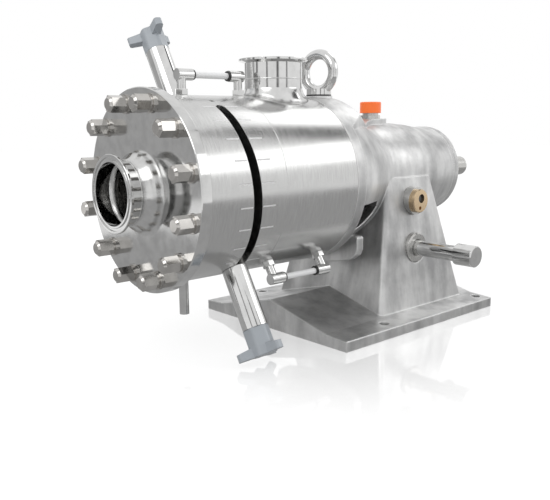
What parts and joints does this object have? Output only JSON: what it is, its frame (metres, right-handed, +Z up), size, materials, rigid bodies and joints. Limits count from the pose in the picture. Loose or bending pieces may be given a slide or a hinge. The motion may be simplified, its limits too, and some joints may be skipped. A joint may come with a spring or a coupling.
{
  "type": "colloid mixer",
  "caption": "Horizontal colloid mixer with clamp inlet and outlet, helical gap adjuster with star knob handles, and a bearing pedestal with a bare drive shaft.",
  "frame": {"origin": "centre of the foot bolt pattern, on the floor", "axes": "+Y from the inlet to the drive shaft, +Z up, +X to the side with the sight glass and the oil drain"},
  "size_m": [0.3405, 0.6828, 0.4182],
  "materials": {
    "polished_steel": "polished stainless steel",
    "satin_steel": "machined stainless steel",
    "cast_steel": "bead blasted cast stainless steel",
    "black_band": "black coated steel, matt",
    "black_rubber": "black, smooth",
    "seal_carbon": "dark seal faces",
    "knob_plastic": "grey blue plastic",
    "black_plastic": "black plastic",
    "hose_plastic": "translucent hose",
    "orange_plastic": "orange plastic",
    "brass": "turned brass",
    "clear_glass": "clear, dark behind"
  },
  "bodies": {
    "machine_frame": {"bearing_cover_screws": "satin_steel", "bearing_frame": "cast_steel", "bearing_outer_rings": "satin_steel", "breather_stem": "satin_steel", "cap_nuts": "polished_steel", "carriage_key": "satin_steel", "cover_seal": "black_rubber", "cover_studs": "satin_steel", "drain_tube": "polished_steel", "elbow_collets": "black_plastic", "eye_gasket": "black_rubber", "flange_screws": "satin_steel", "flat_washers": "satin_steel", "flush_elbows": "satin_steel", "flush_hoses": "hose_plastic", "front_bearing_cover": "cast_steel", "front_cover": "polished_steel", "front_housing": "polished_steel", "gland_screws": "satin_steel", "inlet_ferrule": "polished_steel", "lifting_eye": "polished_steel", "lock_washers": "satin_steel", "oil_drain_pipe": "satin_steel", "oil_drain_ring": "satin_steel", "outlet_ferrule": "polished_steel", "outlet_neck": "polished_steel", "rear_bearing_cover": "cast_steel", "rear_casing": "polished_steel", "rear_cover_bolts": "satin_steel", "seal_fixed_face": "seal_carbon", "seal_gland": "satin_steel", "shaft_lip_seals": "black_rubber", "sight_glass_body": "brass", "sight_glass_lens": "clear_glass", "sight_glass_ring": "satin_steel", "slot_stop_screw": "satin_steel"},
    "rotor_shaft": {"shaft": "satin_steel", "rotor_key": "satin_steel", "rotor": "satin_steel", "rotor_nut": "satin_steel", "seal_turning_face": "seal_carbon", "seal_drive_collar": "satin_steel", "seal_spring": "satin_steel", "bearing_inner_rings": "satin_steel", "bearing_locknut": "satin_steel", "shaft_flinger": "black_rubber"},
    "ball_sets": {"bearing_balls": "satin_steel"},
    "carriage": {"stator_carriage": "satin_steel", "stator": "satin_steel", "stator_screws": "satin_steel", "carriage_seals": "black_rubber", "ring_retaining_nut": "satin_steel"},
    "adjuster": {"adjusting_ring": "black_band", "handle_studs": "satin_steel", "handle_tubes": "polished_steel"},
    "lower_knob": {"star_knob_lower": "knob_plastic"},
    "upper_knob": {"star_knob_upper": "knob_plastic"},
    "breather": {"breather_cap": "orange_plastic"},
    "drain_cap": {"oil_drain_cap": "satin_steel"}
  },
  "joints": [
    {"name": "shaft_spin", "type": "hinge", "parent": "machine_frame", "child": "rotor_shaft", "pos_m": [0, 0, 0.206], "axis": [0, 1, 0], "continuous": true},
    {"name": "ball_orbit", "type": "hinge", "parent": "machine_frame", "child": "ball_sets", "pos_m": [0, 0, 0.206], "axis": [0, 1, 0], "continuous": true},
    {"name": "stator_slide", "type": "slide", "parent": "machine_frame", "child": "carriage", "axis": [0, -1, 0], "range_m": [0, 0.016]},
    {"name": "adjuster_turn", "type": "hinge", "parent": "carriage", "child": "adjuster", "pos_m": [0, -0.3225, 0.206], "axis": [0, -1, 0], "range_deg": [0, 118]},
    {"name": "lower_knob_turn", "type": "hinge", "parent": "adjuster", "child": "lower_knob", "pos_m": [0.1025, -0.31083, 0.02846], "axis": [0.5, 0, -0.866], "range_deg": [0, 120]},
    {"name": "upper_knob_turn", "type": "hinge", "parent": "adjuster", "child": "upper_knob", "pos_m": [-0.1055, -0.31083, 0.38873], "axis": [-0.5, 0, 0.866], "range_deg": [0, 120]},
    {"name": "breather_cap_turn", "type": "hinge", "parent": "machine_frame", "child": "breather", "pos_m": [0, 0.0005, 0.3], "axis": [0, 0, 1], "range_deg": [0, 360]},
    {"name": "drain_cap_turn", "type": "hinge", "parent": "machine_frame", "child": "drain_cap", "pos_m": [0.18, -0.0025, 0.102], "axis": [1, 0, 0], "range_deg": [0, 360]}
  ],
  "couplings": [
    {"joint": "ball_orbit", "follows": "shaft_spin", "ratio": 0.3846},
    {"joint": "stator_slide", "follows": "adjuster_turn", "m_per_rad": 0.0077031}
  ]
}
